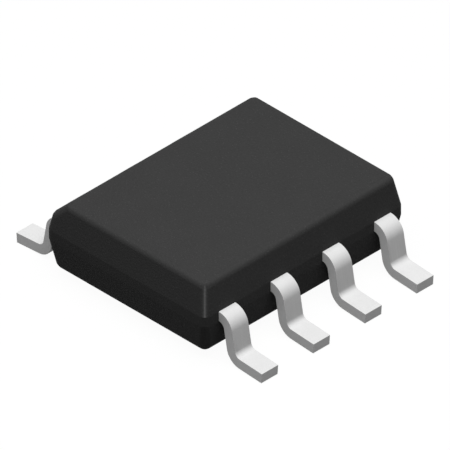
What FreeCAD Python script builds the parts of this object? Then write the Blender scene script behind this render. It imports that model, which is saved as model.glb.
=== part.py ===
import FreeCAD
import Part

import math
import os

# Eight-lead small-outline package, in millimetres.
# The origin is on the board, under the middle of the body. +Z is up, X runs from one row of leads
# to the other, and Y runs along the rows. The bevelled side, where lead 1 is, faces -X.

# Outline of the package
LEAD_PITCH = 1.27
LEADS_PER_SIDE = 4
LEAD_SPAN = 5.994
BODY_WIDTH = 3.912
BODY_LENGTH = 4.902
BODY_HEIGHT = 1.473
BODY_STANDOFF = 0.166
BODY_DRAFT = 10.0
BODY_EDGE_RADIUS = 0.152
BEVEL_LEG = 0.281

# Marks of the mould's ejector pins, under the body
EJECTOR_MARK_RADIUS = 0.4
EJECTOR_MARK_DEPTH = 0.02
EJECTOR_MARK_SPACING = 2.4

# Metal strip that the leads and the paddle are stamped from
STRIP_THICKNESS = 0.203
STRIP_GAP = 0.15

# Gull-wing part of a lead
LEAD_WIDTH = 0.406
LEAD_BEND_RADIUS = 0.127
UPRIGHT_LEAN = 10.0
FOOT_ANGLE = 4.0

# Inner part of a lead
NECK_LENGTH = 0.15
FINGER_WIDTH = 0.62
FINGER_FLARE = 0.1
CORNER_ARM_LENGTH = 1.25

# Paddle and its tie bars
PADDLE_WIDTH = 2.3
PADDLE_LENGTH = 2.9
PADDLE_DOWNSET = 0.2
PADDLE_CORNER_RADIUS = 0.1
TIE_BAR_WIDTH = 0.3
TIE_BAR_FLAT = 0.1
TIE_BAR_RAMP_ANGLE = 45.0
TIE_BAR_BEND_RADIUS = 0.08
TIE_BAR_COVER = 0.12

# Die and the layer under it
DIE_WIDTH = 1.5
DIE_LENGTH = 1.9
DIE_THICKNESS = 0.25
ATTACH_THICKNESS = 0.025
ATTACH_MARGIN = 0.06

# Bond wires
WIRE_DIAMETER = 0.025
WIRE_SIDES = 8
WIRE_LOOP_HEIGHT = 0.17
WIRE_LOOP_RADIUS = 0.07
BALL_RADIUS = 0.04
BALL_HEIGHT = 0.02
STITCH_LENGTH = 0.07
STITCH_WIDTH = 0.045
STITCH_HEIGHT = 0.01
PAD_INSET = 0.12
STITCH_INSET = 0.12

# Heights and places that follow from the sizes above
HALF_WIDTH = BODY_WIDTH / 2
HALF_LENGTH = BODY_LENGTH / 2
BODY_BOTTOM = BODY_STANDOFF
BODY_TOP = BODY_STANDOFF + BODY_HEIGHT
STRIP_MIDDLE = (BODY_BOTTOM + BODY_TOP) / 2
STRIP_BOTTOM = STRIP_MIDDLE - STRIP_THICKNESS / 2
STRIP_TOP = STRIP_MIDDLE + STRIP_THICKNESS / 2
PADDLE_BOTTOM = STRIP_BOTTOM - PADDLE_DOWNSET
PADDLE_TOP = STRIP_TOP - PADDLE_DOWNSET
PADDLE_MIDDLE = STRIP_MIDDLE - PADDLE_DOWNSET
ATTACH_TOP = PADDLE_TOP + ATTACH_THICKNESS
DIE_TOP = ATTACH_TOP + DIE_THICKNESS
NECK_X = HALF_WIDTH - NECK_LENGTH
FINGER_TIP_X = PADDLE_WIDTH / 2 + STRIP_GAP
ARM_TIP_X = NECK_X - CORNER_ARM_LENGTH
ARM_INNER_Y = PADDLE_LENGTH / 2 + STRIP_GAP

ORIGIN = FreeCAD.Vector(0, 0, 0)
UP = FreeCAD.Vector(0, 0, 1)
CLOSE = 1e-5


def half_turn(shape):
    """The same shape on the opposite side of the package."""
    turned = shape.copy()
    turned.rotate(ORIGIN, UP, 180)
    return turned


def box(width, length, low, high):
    """Block centred on the Z axis, between two heights."""
    corner = FreeCAD.Vector(-width / 2, -length / 2, low)
    return Part.makeBox(width, length, high - low, corner)


def rectangle(width, length, height):
    """Closed rectangle centred on the Z axis, at a height."""
    x, y = width / 2, length / 2
    corners = [(-x, -y), (x, -y), (x, y), (-x, y), (-x, -y)]
    return Part.makePolygon([FreeCAD.Vector(a, b, height) for a, b in corners])


def frustum(width, length, low, top_width, top_length, high):
    """Solid between two rectangles centred on the Z axis."""
    return Part.makeLoft([rectangle(width, length, low), rectangle(top_width, top_length, high)], True, True)


def left_of(direction):
    """Unit vector to the left of a direction in the XZ plane."""
    return FreeCAD.Vector(-direction.z, 0, direction.x)


def bend(before, corner, after, middle_radius, offset):
    """Start, middle and end of the arc that rounds a corner of a line in the XZ plane.

    middle_radius belongs to the line itself. offset puts the arc at that distance to the left of it.
    """
    into = (corner - before).normalize()
    out = (after - corner).normalize()
    side = math.copysign(1, into.x * out.z - into.z * out.x)
    setback = middle_radius * math.tan(into.getAngle(out) / 2)
    centre = corner - into * setback + left_of(into) * side * middle_radius
    radius = middle_radius - side * offset
    start = centre - left_of(into) * side * radius
    middle = centre + (corner - centre).normalize() * radius
    end = centre - left_of(out) * side * radius
    return start, middle, end


def rounded_line(points, middle_radius, offset):
    """Edges of a line through points in the XZ plane, with rounded corners, moved to its left by offset."""
    first = (points[1] - points[0]).normalize()
    last = (points[-1] - points[-2]).normalize()
    here = points[0] + left_of(first) * offset
    edges = []
    for before, corner, after in zip(points, points[1:], points[2:]):
        start, middle, end = bend(before, corner, after, middle_radius, offset)
        edges.append(Part.LineSegment(here, start).toShape())
        edges.append(Part.Arc(start, middle, end).toShape())
        here = end
    edges.append(Part.LineSegment(here, points[-1] + left_of(last) * offset).toShape())
    return edges


def bent_strip(points, inner_radius, width):
    """Metal strip bent in the XZ plane along a centre line, with its width along Y."""
    half = STRIP_THICKNESS / 2
    upper = rounded_line(points, inner_radius + half, half)
    lower = rounded_line(points, inner_radius + half, -half)
    ends = []
    for index in (0, -1):
        low, high = lower[index].Vertexes[index], upper[index].Vertexes[index]
        ends.append(Part.LineSegment(low.Point, high.Point).toShape())
    section = Part.Face(Part.Wire(Part.__sortEdges__(upper + lower + ends)))
    section.translate(FreeCAD.Vector(0, -width / 2, 0))
    return section.extrude(FreeCAD.Vector(0, width, 0))


def flat_strip(outline):
    """Flat piece of the strip, at the height of the leads, with the given outline."""
    points = [FreeCAD.Vector(x, y, STRIP_BOTTOM) for x, y in outline]
    return Part.Face(Part.makePolygon(points + points[:1])).extrude(UP * STRIP_THICKNESS)


def lead_places():
    """Y of each lead of the +X side, from the front of the package to the back."""
    first = -(LEADS_PER_SIDE - 1) / 2 * LEAD_PITCH
    return [first + number * LEAD_PITCH for number in range(LEADS_PER_SIDE)]


def is_corner(place):
    """Whether the lead at a Y lies beyond the end of the paddle."""
    return abs(place) > PADDLE_LENGTH / 2


def gull_wing():
    """Bent part of a lead of the +X side, on Y = 0, from its neck inside the body to its toe.

    The first bend starts at the face of the body, and the lower edge of the toe touches the board.
    """
    lean, slope = math.radians(UPRIGHT_LEAN), math.radians(FOOT_ANGLE)
    down = FreeCAD.Vector(math.sin(lean), 0, -math.cos(lean))
    along = FreeCAD.Vector(math.cos(slope), 0, -math.sin(slope))
    setback = (LEAD_BEND_RADIUS + STRIP_THICKNESS / 2) * math.tan((math.pi / 2 - lean) / 2)
    neck = FreeCAD.Vector(NECK_X, 0, STRIP_MIDDLE)
    shoulder = FreeCAD.Vector(HALF_WIDTH + setback, 0, STRIP_MIDDLE)
    toe = FreeCAD.Vector(LEAD_SPAN / 2, 0, 0) + left_of(along) * (STRIP_THICKNESS / 2)
    to_toe = toe - shoulder
    drop = (to_toe.x * along.z - to_toe.z * along.x) / (down.x * along.z - down.z * along.x)
    heel = shoulder + down * drop
    return bent_strip([neck, shoulder, heel, toe], LEAD_BEND_RADIUS, LEAD_WIDTH)


def straight_finger(place):
    """Outline of the inner part of a middle lead. It widens behind the neck, so it can't be pulled out."""
    narrow, wide = LEAD_WIDTH / 2, FINGER_WIDTH / 2
    side = [(NECK_X, narrow), (NECK_X - FINGER_FLARE, wide), (FINGER_TIP_X, wide)]
    far, near = side, [(x, -y) for x, y in reversed(side)]
    return [(x, y + place) for x, y in far + near]


def corner_finger(place):
    """Outline of the inner part of a corner lead: an arm that runs past the end of the paddle.

    Behind the neck its inner edge moves at 45 degrees until it keeps its gap to the paddle.
    """
    outer, inner = abs(place) + LEAD_WIDTH / 2, abs(place) - LEAD_WIDTH / 2
    flare_x = NECK_X - abs(inner - ARM_INNER_Y)
    arm = [(NECK_X, outer), (ARM_TIP_X, outer), (ARM_TIP_X, ARM_INNER_Y)]
    arm += [(flare_x, ARM_INNER_Y), (NECK_X, inner)]
    return [(x, math.copysign(y, place)) for x, y in arm]


def lead(place):
    """Whole lead of the +X side: gull wing outside and finger inside, one piece of strip."""
    wing = gull_wing()
    wing.translate(FreeCAD.Vector(0, place, 0))
    outline = corner_finger(place) if is_corner(place) else straight_finger(place)
    return wing.fuse(flat_strip(outline)).removeSplitter()


def tie_bar():
    """Bar from the paddle's +Y end up to the leads' height. It ends just under the body's surface."""
    ramp_start = PADDLE_LENGTH / 2 + TIE_BAR_FLAT
    ramp_end = ramp_start + PADDLE_DOWNSET / math.tan(math.radians(TIE_BAR_RAMP_ANGLE))
    line = [
        FreeCAD.Vector(PADDLE_LENGTH / 2 - TIE_BAR_FLAT, 0, PADDLE_MIDDLE),
        FreeCAD.Vector(ramp_start, 0, PADDLE_MIDDLE),
        FreeCAD.Vector(ramp_end, 0, STRIP_MIDDLE),
        FreeCAD.Vector(HALF_LENGTH - TIE_BAR_COVER, 0, STRIP_MIDDLE),
    ]
    bar = bent_strip(line, TIE_BAR_BEND_RADIUS, TIE_BAR_WIDTH)
    bar.rotate(ORIGIN, UP, 90)
    return bar


def die_paddle():
    """Paddle that carries the die, set lower than the leads, with a tie bar at each end."""
    plate = box(PADDLE_WIDTH, PADDLE_LENGTH, PADDLE_BOTTOM, PADDLE_TOP)
    corners = [edge for edge in plate.Edges if edge.BoundBox.ZLength > STRIP_THICKNESS / 2]
    plate = plate.makeFillet(PADDLE_CORNER_RADIUS, corners)
    bar = tie_bar()
    return plate.fuse([bar, half_turn(bar)]).removeSplitter()


def die_attach():
    """Thin layer that glues the die to the paddle. It is squeezed out a little past the die's edges."""
    spread = 2 * ATTACH_MARGIN
    return frustum(DIE_WIDTH + spread, DIE_LENGTH + spread, PADDLE_TOP, DIE_WIDTH, DIE_LENGTH, ATTACH_TOP)


def silicon_die():
    """The circuit itself."""
    return box(DIE_WIDTH, DIE_LENGTH, ATTACH_TOP, DIE_TOP)


def wire_section(centre):
    """Closed regular polygon that stands for the wire's round section."""
    radius = WIRE_DIAMETER / 2 / math.cos(math.pi / WIRE_SIDES)
    angles = [(2 * side + 1) * math.pi / WIRE_SIDES for side in range(WIRE_SIDES + 1)]
    return Part.makePolygon([centre + FreeCAD.Vector(math.cos(a), math.sin(a), 0) * radius for a in angles])


def wire_ends(place):
    """Where the wire of a +X lead starts on the die and where it ends on the lead, as (x, y) pairs."""
    pad_x = DIE_WIDTH / 2 - PAD_INSET
    if is_corner(place):
        pad_y = DIE_LENGTH / 2 - PAD_INSET
        stitch_x, stitch_y = ARM_TIP_X + STITCH_INSET, ARM_INNER_Y + STITCH_INSET
    else:
        pad_y = DIE_LENGTH / 4
        stitch_x, stitch_y = FINGER_TIP_X + STITCH_INSET, abs(place)
    return (pad_x, math.copysign(pad_y, place)), (stitch_x, math.copysign(stitch_y, place))


def bond_wire(place):
    """Wire of a +X lead: a flattened ball on the die, a loop, and a stitch pressed flat on the lead."""
    pad, stitch = wire_ends(place)
    across, along = stitch[0] - pad[0], stitch[1] - pad[1]
    reach = math.hypot(across, along)

    base = FreeCAD.Vector(0, 0, DIE_TOP)
    crown = base + UP * WIRE_LOOP_HEIGHT
    landing = FreeCAD.Vector(reach, 0, STRIP_TOP + STITCH_HEIGHT / 2)
    start, middle, end = bend(base, crown, landing, WIRE_LOOP_RADIUS, 0)
    path = Part.Wire([
        Part.LineSegment(base, start).toShape(),
        Part.Arc(start, middle, end).toShape(),
        Part.LineSegment(end, landing).toShape(),
    ])
    loop = path.makePipeShell([wire_section(base)], True, False)

    ball = Part.makeCone(BALL_RADIUS, WIRE_DIAMETER, BALL_HEIGHT, base)
    corner = FreeCAD.Vector(reach - STITCH_LENGTH / 2, -STITCH_WIDTH / 2, STRIP_TOP)
    foot = Part.makeBox(STITCH_LENGTH, STITCH_WIDTH, STITCH_HEIGHT, corner)
    above_lead = box(4 * reach, 4 * reach, STRIP_TOP, BODY_TOP)
    wire = loop.fuse([ball, foot]).common(above_lead).removeSplitter()
    wire.rotate(ORIGIN, UP, math.degrees(math.atan2(along, across)))
    wire.translate(FreeCAD.Vector(pad[0], pad[1], 0))
    return wire


def body_half(height):
    """One half of the body's outer form before the bevel, standing with its wide face on Z = 0."""
    narrowing = 2 * height * math.tan(math.radians(BODY_DRAFT))
    return frustum(BODY_WIDTH, BODY_LENGTH, 0, BODY_WIDTH - narrowing, BODY_LENGTH - narrowing, height)


def cut_bevel(half, height):
    """Take the 45-degree bevel off the -X top edge, along the whole body."""
    edge_x = -HALF_WIDTH + height * math.tan(math.radians(BODY_DRAFT))
    start = FreeCAD.Vector(edge_x + BEVEL_LEG, -BODY_LENGTH, height)
    outside = [
        start + FreeCAD.Vector(BODY_WIDTH, 0, BODY_WIDTH),
        start + FreeCAD.Vector(-BODY_WIDTH, 0, -BODY_WIDTH),
        start + FreeCAD.Vector(-BODY_WIDTH, 0, BODY_WIDTH),
    ]
    block = Part.Face(Part.makePolygon(outside + outside[:1])).extrude(FreeCAD.Vector(0, 2 * BODY_LENGTH, 0))
    return half.cut(block)


def rounded_half(half):
    """Round every edge of a half that isn't in its wide face."""
    edges = [edge for edge in half.Edges if edge.BoundBox.ZMax > CLOSE]
    return half.makeFillet(BODY_EDGE_RADIUS, edges)


def body_outside():
    """Outer form of the body: two drafted halves, with a plain band as thick as the strip between them."""
    height = (BODY_HEIGHT - STRIP_THICKNESS) / 2
    top = rounded_half(cut_bevel(body_half(height), height))
    wide_face = [face for face in top.Faces if face.BoundBox.ZMax < CLOSE][0]
    band = wide_face.extrude(UP * STRIP_THICKNESS)
    band.translate(UP * STRIP_BOTTOM)
    top.translate(UP * STRIP_TOP)

    bottom = rounded_half(body_half(height))
    bottom.rotate(ORIGIN, FreeCAD.Vector(1, 0, 0), 180)
    bottom.translate(UP * STRIP_BOTTOM)
    return top.fuse([band, bottom]).removeSplitter()


def ejector_marks():
    """Two shallow round marks in the underside."""
    centre = FreeCAD.Vector(0, EJECTOR_MARK_SPACING / 2, BODY_BOTTOM)
    mark = Part.makeCylinder(EJECTOR_MARK_RADIUS, EJECTOR_MARK_DEPTH, centre)
    return [mark, half_turn(mark)]


def moulded_body(inside):
    """Body moulded round the pieces inside it, which leave their own shape in it."""
    return body_outside().cut(ejector_marks()).cut(inside)


def build():
    """All pieces, by name. Leads 1 to 4 run from +Y to -Y on the -X side, and 5 to 8 back on the +X side."""
    pieces = {}
    for number, place in enumerate(lead_places(), start=1):
        bent, wire = lead(place), bond_wire(place)
        pieces[f"lead_{number}"] = half_turn(bent)
        pieces[f"lead_{number + LEADS_PER_SIDE}"] = bent
        pieces[f"bond_wire_{number}"] = half_turn(wire)
        pieces[f"bond_wire_{number + LEADS_PER_SIDE}"] = wire
    pieces["die_paddle"] = die_paddle()
    pieces["die_attach"] = die_attach()
    pieces["silicon_die"] = silicon_die()
    pieces["moulded_body"] = moulded_body(list(pieces.values()))
    return pieces


os.makedirs("parts", exist_ok=True)
for name, shape in build().items():
    shape.exportStep(f"parts/{name}.step")
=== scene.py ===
import math

import bmesh
import bpy
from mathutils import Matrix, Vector


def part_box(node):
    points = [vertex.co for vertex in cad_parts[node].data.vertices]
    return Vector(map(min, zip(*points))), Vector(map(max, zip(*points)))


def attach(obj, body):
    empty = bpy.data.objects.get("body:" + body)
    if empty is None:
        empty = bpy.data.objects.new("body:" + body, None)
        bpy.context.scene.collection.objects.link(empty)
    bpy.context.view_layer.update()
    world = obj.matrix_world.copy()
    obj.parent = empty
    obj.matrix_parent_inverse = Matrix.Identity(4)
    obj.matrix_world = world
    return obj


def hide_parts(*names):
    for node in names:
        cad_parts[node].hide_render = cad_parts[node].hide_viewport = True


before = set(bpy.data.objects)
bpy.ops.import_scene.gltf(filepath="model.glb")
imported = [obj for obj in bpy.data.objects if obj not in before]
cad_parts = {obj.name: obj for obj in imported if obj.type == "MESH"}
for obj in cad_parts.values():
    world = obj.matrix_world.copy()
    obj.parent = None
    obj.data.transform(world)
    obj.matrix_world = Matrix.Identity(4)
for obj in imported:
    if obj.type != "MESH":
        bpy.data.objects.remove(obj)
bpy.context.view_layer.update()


# Moulded body. One shot of black epoxy compound, pressed round the leads in a two-part mould. Its
# halves are drafted away from a plain band as thick as the lead strip, its long top edge beside
# leads 1 to 4 is cut at 45 degrees, and the mould's ejector pins leave two marks underneath.

# Sizes are in millimetres until a mesh is finished.
MM = 0.001
body_low, body_high = (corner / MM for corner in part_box("moulded_body"))
BODY_WIDTH = body_high.x - body_low.x
BODY_LENGTH = body_high.y - body_low.y
BODY_TOP = body_high.z
BODY_BOTTOM = body_low.z
STRIP_THICKNESS = 0.203
STRIP_MIDDLE = (BODY_TOP + BODY_BOTTOM) / 2
STRIP_TOP = STRIP_MIDDLE + STRIP_THICKNESS / 2
STRIP_BOTTOM = STRIP_MIDDLE - STRIP_THICKNESS / 2
DRAFT = math.radians(10)
BEVEL_LEG = 0.281
EDGE_RADIUS = 0.152
EDGE_STEPS = 10
MARK_RADIUS = 0.4
MARK_DEPTH = 0.02
MARK_SPACING = 2.4
MARK_SIDES = 64

# Just under the draft, so the two edges of the band stay crisp.
BODY_CRISP_ANGLE = math.radians(9.7)

# How much more a large face sways the shading of its edges than a small one.
FLAT_FACE_WEIGHT = 80

# A face looks along an axis where its normal's share of the axis is over this.
FACING = 0.9


def begin(name):
    """Name the primitive just added, put its size and place in its mesh, and open it to edit."""
    piece = bpy.context.object
    piece.name = piece.data.name = name
    bpy.ops.object.transform_apply(location=True, rotation=True, scale=True)
    bpy.ops.object.mode_set(mode="EDIT")
    return piece


def pick(kind, test):
    """In edit mode, select only the faces, edges or verts that pass a test."""
    bpy.ops.mesh.select_mode(type={"verts": "VERT", "edges": "EDGE", "faces": "FACE"}[kind])
    bpy.ops.mesh.select_all(action="DESELECT")
    mesh = bmesh.from_edit_mesh(bpy.context.object.data)
    mesh.normal_update()
    for part in getattr(mesh, kind):
        if test(part):
            part.select_set(True)
    bmesh.update_edit_mesh(bpy.context.object.data)


def extrude(move):
    """Extrude the selected faces by a vector."""
    bpy.ops.mesh.extrude_region_move(TRANSFORM_OT_translate={"value": move})


def finish_mesh(piece, crisp_angle):
    """Close edit mode, shade the piece smooth and turn its millimetres into metres.

    Edges over the angle stay crisp, and flat faces stay flat up to their rounded edges.
    """
    bpy.ops.mesh.select_all(action="SELECT")
    bpy.ops.mesh.normals_make_consistent(inside=False)
    bpy.ops.object.mode_set(mode="OBJECT")
    bpy.ops.object.shade_smooth_by_angle(angle=crisp_angle)
    weighted = piece.modifiers.new("flat_faces_stay_flat", "WEIGHTED_NORMAL")
    weighted.keep_sharp = True
    weighted.weight = FLAT_FACE_WEIGHT
    bpy.ops.object.modifier_apply(modifier=weighted.name)
    piece.scale = (MM, MM, MM)
    bpy.ops.object.transform_apply(location=False, rotation=False, scale=True)


bpy.ops.object.select_all(action="DESELECT")
bpy.ops.mesh.primitive_cube_add(
    size=1, location=(0, 0, STRIP_MIDDLE), scale=(BODY_WIDTH, BODY_LENGTH, STRIP_THICKNESS))
body = begin("body_moulding")
half_height = BODY_TOP - STRIP_TOP
narrowing = 2 * half_height * math.tan(DRAFT)
taper = (1 - narrowing / BODY_WIDTH, 1 - narrowing / BODY_LENGTH, 1)
for side in (1, -1):
    pick("faces", lambda face: face.normal.z * side > FACING)
    extrude((0, 0, side * half_height))
    bpy.ops.transform.resize(value=taper, center_override=(0, 0, 0))
bpy.ops.mesh.select_all(action="SELECT")
bevel_start_x = BEVEL_LEG - (BODY_WIDTH - narrowing) / 2
bpy.ops.mesh.bisect(
    plane_co=(bevel_start_x, 0, BODY_TOP), plane_no=(-1, 0, 1), use_fill=True, clear_outer=True)

# Every edge but those of the band is rounded to one radius, so a blunt edge is cut back less.
mesh = bmesh.from_edit_mesh(body.data)
weights = mesh.edges.layers.float.new("bevel_weight_edge")
for edge in mesh.edges:
    turn = edge.calc_face_angle()
    if turn > 2 * DRAFT:
        edge[weights] = math.tan(turn / 2)
bmesh.update_edit_mesh(body.data)
bpy.ops.object.mode_set(mode="OBJECT")
rounding = body.modifiers.new("rounded_edges", "BEVEL")
rounding.limit_method = "WEIGHT"
rounding.width = EDGE_RADIUS
rounding.segments = EDGE_STEPS
bpy.ops.object.modifier_apply(modifier=rounding.name)

bpy.ops.object.select_all(action="DESELECT")
for side in (1, -1):
    bpy.ops.mesh.primitive_cylinder_add(
        vertices=MARK_SIDES, radius=MARK_RADIUS, depth=2 * MARK_DEPTH,
        location=(0, side * MARK_SPACING / 2, BODY_BOTTOM))
    mark = bpy.context.object
    bpy.ops.object.select_all(action="DESELECT")
    bpy.context.view_layer.objects.active = body
    cut = body.modifiers.new("ejector_mark", "BOOLEAN")
    cut.operation = "DIFFERENCE"
    cut.object = mark
    cut.solver = "EXACT"
    bpy.ops.object.modifier_apply(modifier=cut.name)
    bpy.data.objects.remove(mark)
body.select_set(True)
bpy.ops.object.mode_set(mode="EDIT")
finish_mesh(body, BODY_CRISP_ANGLE)


# Painted highlight on the upper half: its vertical corners are painted lighter, and the rounded
# edges of its top a little, for the gleam of light on them. Each tilt is that of a normal from
# straight up.
CORNER_HIGHLIGHT_SPREAD = math.radians(5.5)
CORNER_HIGHLIGHT_FLOOR = 0.04
CORNER_HIGHLIGHT_TILT = math.radians(47)
BEVELLED_CORNER_HIGHLIGHT_TILT = math.radians(62)
EDGE_HIGHLIGHT = 0.056
EDGE_HIGHLIGHT_FROM = math.radians(17)
EDGE_HIGHLIGHT_TO = math.radians(58)


def clamp(share):
    """A share kept from 0 to 1."""
    return min(max(share, 0), 1)


def corner_highlight(normal, tilt):
    """How much painted highlight a vertical corner gets where it has this normal and tilt."""
    begins = math.cos(CORNER_HIGHLIGHT_TILT if normal.x > 0 else BEVELLED_CORNER_HIGHLIGHT_TILT)
    down = (begins - math.cos(tilt)) / (begins - math.sin(DRAFT))
    off_corner = abs(math.atan2(abs(normal.y), abs(normal.x)) - math.pi / 4)
    across = 1 / (1 + (off_corner / CORNER_HIGHLIGHT_SPREAD) ** 2) - CORNER_HIGHLIGHT_FLOOR
    return clamp(across) * clamp(down)


def edge_highlight(tilt):
    """How much painted highlight a rounded top edge gets where its normal has this tilt."""
    share = (tilt - EDGE_HIGHLIGHT_FROM) / (EDGE_HIGHLIGHT_TO - EDGE_HIGHLIGHT_FROM)
    return EDGE_HIGHLIGHT * math.sin(math.pi * clamp(share))


# Each face corner's share of painted highlight, which the material reads.
painted_light = body.data.attributes.new("painted_light", "FLOAT", "CORNER")
for face in body.data.polygons:
    is_upper = face.center.z > STRIP_TOP * MM
    for corner in face.loop_indices:
        normal = body.data.vertices[body.data.loops[corner].vertex_index].normal
        tilt = normal.angle((0, 0, 1))
        painted_light.data[corner].value = corner_highlight(normal, tilt) + edge_highlight(tilt) if is_upper else 0


def grey(level):
    """A colour with no hue."""
    return (level, level, level)


def new_material(name, colour, metallic, roughness, specular):
    """A material with one surface shader. Returns the material, its node tree and the shader."""
    material = bpy.data.materials.new(name)
    material.use_nodes = True
    tree = material.node_tree
    shader = tree.nodes["Principled BSDF"]
    shader.inputs["Base Color"].default_value = (*colour, 1)
    shader.inputs["Metallic"].default_value = metallic
    shader.inputs["Roughness"].default_value = roughness
    shader.inputs["Specular IOR Level"].default_value = specular
    return material, tree, shader


def on_the_piece(tree):
    """Places on the piece itself, for a pattern that stays with it."""
    return tree.nodes.new("ShaderNodeTexCoord").outputs["Object"]


def ranged(tree, value, from_low, from_high, low, high):
    """A value taken from one range to another, and kept inside it."""
    share = tree.nodes.new("ShaderNodeMapRange")
    share.inputs["From Min"].default_value = from_low
    share.inputs["From Max"].default_value = from_high
    share.inputs["To Min"].default_value = low
    share.inputs["To Max"].default_value = high
    tree.links.new(value, share.inputs["Value"])
    return share.outputs[0]


# Between these two levels lies nearly all of the noise texture.
NOISE_LOW = 0.25
NOISE_HIGH = 0.75


def clouds(tree, size, detail=2.0, stretch=(1, 1, 1)):
    """A cloudy pattern from 0 to 1, with blobs of about a size in millimetres.

    A stretch under 1 draws the blobs out along its axis.
    """
    turn = tree.nodes.new("ShaderNodeMapping")
    turn.inputs["Scale"].default_value = stretch
    noise = tree.nodes.new("ShaderNodeTexNoise")
    noise.inputs["Scale"].default_value = 1 / (size * MM)
    noise.inputs["Detail"].default_value = detail
    tree.links.new(on_the_piece(tree), turn.inputs["Vector"])
    tree.links.new(turn.outputs["Vector"], noise.inputs["Vector"])
    return ranged(tree, noise.outputs["Fac"], NOISE_LOW, NOISE_HIGH, 0, 1)


def blend(tree, share, first, second):
    """The first colour where share is 0, and the second where it is 1."""
    mix = tree.nodes.new("ShaderNodeMix")
    mix.data_type = "RGBA"
    tree.links.new(share, mix.inputs["Factor"])
    for socket, colour in ((mix.inputs["A"], first), (mix.inputs["B"], second)):
        if isinstance(colour, bpy.types.NodeSocket):
            tree.links.new(colour, socket)
        else:
            socket.default_value = (*colour, 1)
    return mix.outputs["Result"]


def varied(tree, pattern, level, share):
    """A grey level that a pattern from 0 to 1 makes darker and lighter by up to a share."""
    return blend(tree, pattern, grey(level * (1 - share)), grey(level * (1 + share)))


def darkened(tree, pattern, colour, share):
    """A colour made darker by up to a share where a pattern from 0 to 1 is low."""
    return blend(tree, ranged(tree, pattern, 0, 1, share, 0), colour, grey(0))


def with_painted_light(tree, plain_colour, painted_light):
    """One colour where the mesh's attribute says no light is painted, and another where it says
    painted highlight or painted shade.
    """
    # The attribute holds each place's share of painted highlight or painted shade.
    attribute = tree.nodes.new("ShaderNodeAttribute")
    attribute.attribute_name = "painted_light"
    return blend(tree, attribute.outputs["Fac"], plain_colour, painted_light)


def coat(tree, shader, colour, pattern, low, high):
    """Give the surface a colour, and a roughness that a pattern takes from low to high."""
    tree.links.new(colour, shader.inputs["Base Color"])
    tree.links.new(ranged(tree, pattern, 0, 1, low, high), shader.inputs["Roughness"])


def relief(tree, shader, height, depth):
    """Raise the surface by a pattern from 0 to 1 times a depth in millimetres."""
    bump = tree.nodes.new("ShaderNodeBump")
    bump.inputs["Distance"].default_value = depth * MM
    tree.links.new(height, bump.inputs["Height"])
    tree.links.new(bump.outputs["Normal"], shader.inputs["Normal"])


# The mould's walls are spark-eroded, which gives the compound a fine matt texture. Its resin is
# faintly mottled, and grains of its glassy filler show as specks.
COMPOUND_GREY = 0.047
COMPOUND_SPECULAR = 0.026
COMPOUND_ROUGHNESS = 0.7
COMPOUND_ROUGHNESS_SPREAD = 0.08
COMPOUND_MOTTLE = 0.02
COMPOUND_MOTTLE_SIZE = 0.6
SPARK_TEXTURE_SIZE = 0.035
SPARK_TEXTURE_DETAIL = 3.0
SPARK_TEXTURE_DEPTH = 0.0038
SPARK_TEXTURE_SHADE = 0.2
FILLER_GREY = 0.06
FILLER_SPACING = 0.06
FILLER_CORE = 0.12
FILLER_RIM = 0.18
# The grey of the painted highlight on the upper corners and top edges.
PAINTED_HIGHLIGHT_GREY = 0.16

compound, tree, shader = new_material(
    "moulding_compound", grey(COMPOUND_GREY), metallic=0.0,
    roughness=COMPOUND_ROUGHNESS, specular=COMPOUND_SPECULAR)
sparked = clouds(tree, SPARK_TEXTURE_SIZE, SPARK_TEXTURE_DETAIL)
resin = varied(tree, clouds(tree, COMPOUND_MOTTLE_SIZE), COMPOUND_GREY, COMPOUND_MOTTLE)
resin = darkened(tree, sparked, resin, SPARK_TEXTURE_SHADE)
filler = tree.nodes.new("ShaderNodeTexVoronoi")
filler.inputs["Scale"].default_value = 1 / (FILLER_SPACING * MM)
tree.links.new(on_the_piece(tree), filler.inputs["Vector"])
specks = ranged(tree, filler.outputs["Distance"], FILLER_CORE, FILLER_RIM, 1, 0)
speckled = blend(tree, specks, resin, grey(FILLER_GREY))
# Painted highlight on the upper corners and top edges, where the mesh's attribute says.
coat(
    tree, shader, with_painted_light(tree, speckled, grey(PAINTED_HIGHLIGHT_GREY)), sparked,
    COMPOUND_ROUGHNESS - COMPOUND_ROUGHNESS_SPREAD, COMPOUND_ROUGHNESS + COMPOUND_ROUGHNESS_SPREAD)
relief(tree, shader, sparked, SPARK_TEXTURE_DEPTH)
body.data.materials.append(compound)
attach(body, "root")
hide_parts("moulded_body")


# Leads. Eight strips of tin-plated copper alloy, stamped, moulded in and then bent to gull wings:
# down at the body's face and out again to a foot. Behind the neck each widens to a finger inside
# the body. The middle two of a row are alike, and the corner ones have an arm past the paddle.

LEADS_PER_ROW = 4
LEAD_PITCH = 1.27
LEAD_WIDTH = 0.406
BEND_RADIUS = 0.127
BEND_STEPS = 16
UPRIGHT_LEAN = math.radians(10)
FOOT_SLOPE = math.radians(4)
TOE_X = 2.997
NECK_LENGTH = 0.15
FINGER_WIDTH = 0.62
FINGER_FLARE = 0.1
FINGER_TIP_X = 1.3
ARM_TIP_X = 0.556
ARM_SHIFT = 0.102

# Verts and faces this near to a place count as at it.
CLOSE = 0.01

# Stamping leaves square edges, which are broken a little. The steps of a bend turn less than this.
SQUARE_TURN = 1.0
SHEARED_EDGE = 0.008
SHEARED_EDGE_STEPS = 2
LEAD_CRISP_ANGLE = math.radians(40)

# Painted shade: the outer face of each lead is painted duller and darker from the shoulder down,
# most at the heel, for the shade that falls there. It covers where a normal faces outwards and no
# longer points almost straight up.
OUTER_NORMAL_X = 0.3
PAINTED_SHADE_BELOW_NORMAL_Z = 0.83
PAINTED_SHADE_FADE = 0.6
PAINTED_SHADE_AT_SHOULDER = 0.55

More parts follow.
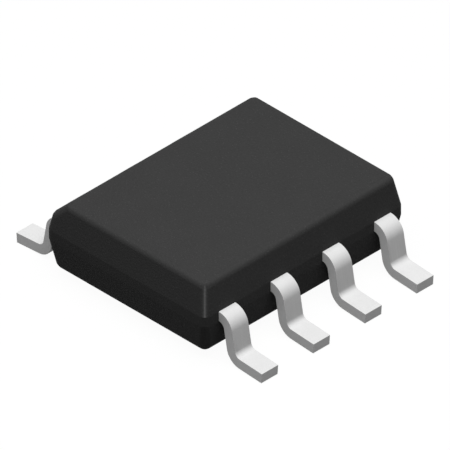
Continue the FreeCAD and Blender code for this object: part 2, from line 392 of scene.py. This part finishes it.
face_x = BODY_WIDTH / 2
neck_x = face_x - NECK_LENGTH
neck_middle_x = face_x - NECK_LENGTH / 2
down = Vector((math.sin(UPRIGHT_LEAN), 0, -math.cos(UPRIGHT_LEAN)))
outward = Vector((math.cos(FOOT_SLOPE), 0, -math.sin(FOOT_SLOPE)))
over_foot = Vector((math.sin(FOOT_SLOPE), 0, math.cos(FOOT_SLOPE)))
middle_radius = BEND_RADIUS + STRIP_THICKNESS / 2
shoulder_turn = math.pi / 2 - UPRIGHT_LEAN
heel_turn = shoulder_turn - FOOT_SLOPE
shoulder_setback = middle_radius * math.tan(shoulder_turn / 2)
heel_setback = middle_radius * math.tan(heel_turn / 2)
shoulder = Vector((face_x + shoulder_setback, 0, STRIP_MIDDLE))
toe = Vector((TOE_X, 0, 0)) + over_foot * STRIP_THICKNESS / 2
to_toe = toe - shoulder
drop = (to_toe.x * outward.z - to_toe.z * outward.x) / (down.x * outward.z - down.z * outward.x)
heel = shoulder + down * drop
upright_length = drop - shoulder_setback - heel_setback
foot_length = (toe - heel).length - heel_setback
shoulder_centre = Vector((face_x, 0, STRIP_BOTTOM - BEND_RADIUS))
heel_centre = heel + outward * heel_setback + over_foot * middle_radius
upright_top = shoulder_centre.z + (BEND_RADIUS + STRIP_THICKNESS) * math.sin(UPRIGHT_LEAN)
upright_foot = heel_centre.z - BEND_RADIUS * math.sin(UPRIGHT_LEAN)


def pick_inner_end(beyond_x):
    """Select the end face of the finger, which lies further inside the body than an X."""
    pick("faces", lambda face: (
        face.normal.x < -FACING and face.calc_center_median().x < beyond_x))


def is_sheared(edge):
    """Whether an edge is one of the square edges that stamping leaves, outside the finger."""
    middle = (edge.verts[0].co + edge.verts[1].co) / 2
    return edge.calc_face_angle(0) > SQUARE_TURN and middle.x > neck_middle_x


def painted_shade(vert):
    """How much painted shade a vert of the finished lead gets, from 0 to 1."""
    if vert.normal.x <= OUTER_NORMAL_X or vert.co.x >= (heel.x + BEND_RADIUS) * MM:
        return 0
    steepness = (PAINTED_SHADE_BELOW_NORMAL_Z - vert.normal.z) / PAINTED_SHADE_FADE
    depth = (upright_top - vert.co.z / MM) / (upright_top - upright_foot)
    strength = PAINTED_SHADE_AT_SHOULDER + (1 - PAINTED_SHADE_AT_SHOULDER) * clamp(depth)
    return clamp(steepness) * strength


def bent_lead(name, arm_side):
    """One lead of the +X row, on Y = 0.

    A corner lead has its arm towards +Y or -Y, as arm_side says, and a middle lead has side 0.
    """
    bpy.ops.object.select_all(action="DESELECT")
    bpy.ops.mesh.primitive_cube_add(
        size=1, location=(neck_middle_x, 0, STRIP_MIDDLE),
        scale=(NECK_LENGTH, LEAD_WIDTH, STRIP_THICKNESS))
    lead = begin(name)
    pick("faces", lambda face: face.normal.x > FACING)
    bpy.ops.mesh.spin(
        steps=BEND_STEPS, angle=shoulder_turn, center=shoulder_centre, axis=(0, -1, 0))
    extrude(down * upright_length)
    bpy.ops.mesh.spin(steps=BEND_STEPS, angle=heel_turn, center=heel_centre, axis=(0, 1, 0))
    extrude(outward * foot_length)
    pick_inner_end(neck_middle_x)
    if arm_side:
        extrude((-ARM_SHIFT, 0, 0))
        inner_x = neck_x - ARM_SHIFT
        pick("verts", lambda vert: vert.co.x < inner_x + CLOSE and vert.co.y * arm_side > 0)
        bpy.ops.transform.translate(value=(0, arm_side * ARM_SHIFT, 0))
        pick_inner_end(inner_x + CLOSE)
        extrude((ARM_TIP_X - inner_x, 0, 0))
    else:
        extrude((-FINGER_FLARE, 0, 0))
        inner_x = neck_x - FINGER_FLARE
        bpy.ops.transform.resize(
            value=(1, FINGER_WIDTH / LEAD_WIDTH, 1), center_override=(inner_x, 0, STRIP_MIDDLE))
        extrude((FINGER_TIP_X - inner_x, 0, 0))
    pick("edges", is_sheared)
    bpy.ops.mesh.bevel(offset=SHEARED_EDGE, segments=SHEARED_EDGE_STEPS, affect="EDGES")
    finish_mesh(lead, LEAD_CRISP_ANGLE)
    # Each vert's share of painted shade, which the material reads.
    painted_light = lead.data.attributes.new("painted_light", "FLOAT", "POINT")
    for vert in lead.data.vertices:
        painted_light.data[vert.index].value = painted_shade(vert)
    return lead


def copy_lead(master, name, place, turned):
    """A copy of a lead with its own mesh, at a Y of the +X row, or turned half round from there."""
    lead = master.copy()
    lead.data = master.data.copy()
    lead.name = lead.data.name = name
    bpy.context.collection.objects.link(lead)
    bpy.ops.object.select_all(action="DESELECT")
    lead.select_set(True)
    bpy.context.view_layer.objects.active = lead
    lead.location.y = place
    bpy.ops.object.transform_apply(location=True, rotation=True, scale=True)
    lead.rotation_euler.z = math.pi if turned else 0
    bpy.ops.object.transform_apply(location=True, rotation=True, scale=True)
    return lead


# Matt tin is made of fine crystals, a little uneven in its grey.
TIN_GREY = 0.777
TIN_METALLIC = 0.05
TIN_SPECULAR = 0.1
TIN_ROUGHNESS = 0.45
TIN_ROUGHNESS_SPREAD = 0.07
TIN_MOTTLE = 0.02
TIN_MOTTLE_SIZE = 0.25
CRYSTAL_SIZE = 0.02
CRYSTAL_SHADE = 0.06
TIN_RELIEF = 0.0006
# The darker grey of the painted shade on the outer faces of the leads, with faint streaks in it.
PAINTED_SHADE_GREY = 0.48
PAINTED_SHADE_STREAK = 0.06
WIPE_STRETCH = (0.03, 1, 0.03)

plating, tree, shader = new_material(
    "tin_plating", grey(TIN_GREY), metallic=TIN_METALLIC,
    roughness=TIN_ROUGHNESS, specular=TIN_SPECULAR)
crystals = clouds(tree, CRYSTAL_SIZE)
wipes = clouds(tree, CRYSTAL_SIZE, stretch=WIPE_STRETCH)
matt_tin = varied(tree, clouds(tree, TIN_MOTTLE_SIZE), TIN_GREY, TIN_MOTTLE)
matt_tin = darkened(tree, crystals, matt_tin, CRYSTAL_SHADE)
painted_shade_tin = varied(tree, wipes, PAINTED_SHADE_GREY, PAINTED_SHADE_STREAK)
# Painted shade on the outer faces, where the mesh's attribute says.
coat(
    tree, shader, with_painted_light(tree, matt_tin, painted_shade_tin), crystals,
    TIN_ROUGHNESS - TIN_ROUGHNESS_SPREAD, TIN_ROUGHNESS + TIN_ROUGHNESS_SPREAD)
surface = tree.nodes.new("ShaderNodeMath")
surface.operation = "ADD"
tree.links.new(crystals, surface.inputs[0])
tree.links.new(wipes, surface.inputs[1])
relief(tree, shader, surface.outputs[0], TIN_RELIEF)

masters = {side: bent_lead(f"lead_master_{side + 1}", side) for side in (-1, 0, 1)}
for number in range(1, 2 * LEADS_PER_ROW + 1):
    turned = number <= LEADS_PER_ROW
    place = ((number - 1) % LEADS_PER_ROW - (LEADS_PER_ROW - 1) / 2) * LEAD_PITCH
    arm_side = 0
    if abs(place) > LEAD_PITCH:
        arm_side = -1 if place > 0 else 1
    lead = copy_lead(masters[arm_side], f"gull_lead_{number}", place * MM, turned)
    lead.data.materials.append(plating)
    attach(lead, "root")
    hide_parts(f"lead_{number}")
for master in masters.values():
    bpy.data.objects.remove(master)


# Paddle. It carries the die, and is stamped with its two tie bars from the same copper strip as
# the leads. Like all that is sealed inside the body it keeps the shape of its solid, and here it
# gets its finish: bare rolled copper, with fine lines from the rolls.

ROLLED_COPPER = (0.72, 0.39, 0.26)
COPPER_DARK = (0.66, 0.34, 0.22)
COPPER_BRIGHT = (0.76, 0.43, 0.29)
COPPER_SMOOTH = 0.28
COPPER_ROUGH = 0.42
ROLL_LINE_SIZE = 0.03
ROLL_LINE_STRETCH = (0.05, 1, 1)
ROLL_LINE_DEPTH = 0.0005


def dress(material, *nodes):
    """Give CAD nodes a material."""
    for name in nodes:
        for slot in bpy.data.objects[name].material_slots:
            slot.material = material


copper, tree, shader = new_material(
    "copper_strip", ROLLED_COPPER, metallic=1.0, roughness=0.35, specular=0.5)
rolled = clouds(tree, ROLL_LINE_SIZE, stretch=ROLL_LINE_STRETCH)
rolled_colour = blend(tree, rolled, COPPER_DARK, COPPER_BRIGHT)
coat(tree, shader, rolled_colour, rolled, COPPER_SMOOTH, COPPER_ROUGH)
relief(tree, shader, rolled, ROLL_LINE_DEPTH)
dress(copper, "die_paddle")


# Die attach. A thin layer of epoxy filled with silver flakes glues the die to the paddle. It is
# dispensed as a paste, squeezed out a little by the die and cured to a dull, speckled grey.

EPOXY_GREY = 0.5
FLAKE_DARK = (0.32, 0.32, 0.33)
FLAKE_BRIGHT = (0.68, 0.68, 0.67)
FLAKE_SIZE = 0.012
FLAKE_DETAIL = 3.0
FLAKE_DEPTH = 0.002
RESIN_ROUGH = 0.6
FLAKE_SMOOTH = 0.35

silver_glue, tree, shader = new_material(
    "silver_epoxy", grey(EPOXY_GREY), metallic=0.3, roughness=0.5, specular=0.5)
flakes = clouds(tree, FLAKE_SIZE, FLAKE_DETAIL)
flake_colour = blend(tree, flakes, FLAKE_DARK, FLAKE_BRIGHT)
coat(tree, shader, flake_colour, flakes, RESIN_ROUGH, FLAKE_SMOOTH)
relief(tree, shader, flakes, FLAKE_DEPTH)
dress(silver_glue, "die_attach")


# Die. A sawn chip of polished silicon, glued on the paddle. The blocks of its circuit and the
# metal lines between them show as a fine pattern, with the shimmer of the thin films over them.

SILICON_COLOUR = (0.2, 0.21, 0.26)
CIRCUIT_BLOCK = (0.17, 0.19, 0.27)
CIRCUIT_LINE = (0.42, 0.40, 0.34)
CIRCUIT_SCALE = 0.3
CIRCUIT_LINE_WIDTH = 0.03
FILM_SHIMMER = (0.26, 0.2, 0.3)
FILM_SHIMMER_SIZE = 0.15
FILM_SHIMMER_SHARE = 0.4
FILM_SPOT_SIZE = 0.05
SILICON_SMOOTH = 0.15
SILICON_ROUGH = 0.3

silicon, tree, shader = new_material(
    "silicon", SILICON_COLOUR, metallic=0.6, roughness=0.2, specular=0.5)
blocks = tree.nodes.new("ShaderNodeTexBrick")
blocks.inputs["Scale"].default_value = 1 / (CIRCUIT_SCALE * MM)
blocks.inputs["Mortar Size"].default_value = CIRCUIT_LINE_WIDTH
tree.links.new(on_the_piece(tree), blocks.inputs["Vector"])
circuit = blend(tree, blocks.outputs["Fac"], CIRCUIT_BLOCK, CIRCUIT_LINE)
shimmer = ranged(tree, clouds(tree, FILM_SHIMMER_SIZE), 0, 1, 0, FILM_SHIMMER_SHARE)
coat(
    tree, shader, blend(tree, shimmer, circuit, FILM_SHIMMER), clouds(tree, FILM_SPOT_SIZE),
    SILICON_SMOOTH, SILICON_ROUGH)
dress(silicon, "silicon_die")


# Bond wires. Drawn gold wire, welded by heat and ultrasound: a ball on each of the die's pads, a
# loop, and a stitch pressed flat on the finger of the lead.

GOLD = (1.0, 0.76, 0.33)
GOLD_DARK = (0.95, 0.68, 0.27)
GOLD_BRIGHT = (1.0, 0.8, 0.38)
GOLD_SMOOTH = 0.15
GOLD_ROUGH = 0.3
DRAW_LINE_SIZE = 0.008
DRAW_LINE_STRETCH = (0.1, 1, 1)

gold, tree, shader = new_material("gold_wire", GOLD, metallic=1.0, roughness=0.22, specular=0.5)
pulled = clouds(tree, DRAW_LINE_SIZE, stretch=DRAW_LINE_STRETCH)
coat(tree, shader, blend(tree, pulled, GOLD_DARK, GOLD_BRIGHT), pulled, GOLD_SMOOTH, GOLD_ROUGH)
dress(gold, *(f"bond_wire_{number}" for number in range(1, 2 * LEADS_PER_ROW + 1)))


# Floor. A plain pale board under the chip, for the picture only. Its paint throws hardly any light
# back on the chip. It looks white because it glows for the camera and in what the chip mirrors,
# and the paint under the glow takes the faint shadow.

# From here on sizes are in metres.
FLOOR_SIZE = 0.4
FLOOR_GREY = 0.04
FLOOR_GLOW = 0.96


def shown_as_background(tree):
    """1 for rays that show the background to the camera, to metal or to glass, and otherwise 0."""
    path = tree.nodes.new("ShaderNodeLightPath")
    shown = path.outputs["Is Camera Ray"]
    for ray in ("Is Glossy Ray", "Is Transmission Ray"):
        either = tree.nodes.new("ShaderNodeMath")
        either.operation = "MAXIMUM"
        tree.links.new(shown, either.inputs[0])
        tree.links.new(path.outputs[ray], either.inputs[1])
        shown = either.outputs[0]
    return shown


bpy.ops.object.select_all(action="DESELECT")
bpy.ops.mesh.primitive_plane_add(size=FLOOR_SIZE, location=(0, 0, 0))
floor = bpy.context.object
floor.name = "floor"
floor_paint = bpy.data.materials.new("pale_floor")
floor_paint.use_nodes = True
tree = floor_paint.node_tree
tree.nodes.remove(tree.nodes["Principled BSDF"])
paint = tree.nodes.new("ShaderNodeBsdfDiffuse")
paint.inputs["Color"].default_value = (*grey(FLOOR_GREY), 1)
glow = tree.nodes.new("ShaderNodeEmission")
glow_level = ranged(tree, shown_as_background(tree), 0, 1, 0, FLOOR_GLOW)
tree.links.new(glow_level, glow.inputs["Strength"])
both = tree.nodes.new("ShaderNodeAddShader")
tree.links.new(paint.outputs[0], both.inputs[0])
tree.links.new(glow.outputs[0], both.inputs[1])
tree.links.new(both.outputs[0], tree.nodes["Material Output"].inputs["Surface"])
floor_paint.cycles.emission_sampling = "NONE"
floor.data.materials.append(floor_paint)


# Studio light. The surroundings are white to the camera and in what the chip mirrors, and light
# it only a little. The rest comes from one round softbox, almost overhead on the camera's side,
# which isn't mirrored in the chip.

SURROUNDINGS_LEVEL = 0.15
KEY_AZIMUTH = math.radians(43.5)
KEY_ELEVATION = math.radians(78.4)
KEY_DISTANCE = 0.08
KEY_RADIUS = 0.039

# How bright the softbox alone makes a white card under it.
KEY_LEVEL = 0.975

scene = bpy.context.scene
scene.view_settings.view_transform = "Standard"
surroundings = bpy.data.worlds.new("studio")
scene.world = surroundings
surroundings.use_nodes = True
tree = surroundings.node_tree
sky = tree.nodes["Background"]
sky.inputs["Color"].default_value = (*grey(1), 1)
sky_level = ranged(tree, shown_as_background(tree), 0, 1, SURROUNDINGS_LEVEL, 1)
tree.links.new(sky_level, sky.inputs["Strength"])
surroundings.cycles.sampling_method = "NONE"

lamp = bpy.data.lights.new("key_softbox", "AREA")
lamp.shape = "DISK"
lamp.size = 2 * KEY_RADIUS
lamp.energy = KEY_LEVEL * math.pi ** 2 * (KEY_DISTANCE ** 2 + KEY_RADIUS ** 2)
softbox = bpy.data.objects.new("key_softbox", lamp)
scene.collection.objects.link(softbox)
softbox.visible_glossy = False
to_softbox = Vector((
    math.sin(KEY_AZIMUTH) * math.cos(KEY_ELEVATION),
    -math.cos(KEY_AZIMUTH) * math.cos(KEY_ELEVATION),
    math.sin(KEY_ELEVATION),
))
softbox.location = to_softbox * KEY_DISTANCE
softbox.rotation_euler = to_softbox.to_track_quat("Z", "Y").to_euler()


# Camera. It looks at the chip as in the photograph: an exact isometric view with no perspective,
# whose width is the photograph's.

PICTURE_CENTRE = Vector((0, 0, 0.0008135))
PICTURE_WIDTH = 0.007802
CAMERA_DISTANCE = 0.03
NEAREST_SHOWN = 0.001
FURTHEST_SHOWN = 1

to_camera = Vector((1, -1, 1)).normalized()
camera = bpy.data.objects.new("camera", bpy.data.cameras.new("camera"))
scene.collection.objects.link(camera)
camera.data.type = "ORTHO"
camera.data.ortho_scale = PICTURE_WIDTH
camera.data.clip_start = NEAREST_SHOWN
camera.data.clip_end = FURTHEST_SHOWN
camera.location = PICTURE_CENTRE + to_camera * CAMERA_DISTANCE
camera.rotation_euler = to_camera.to_track_quat("Z", "Y").to_euler()
scene.camera = camera
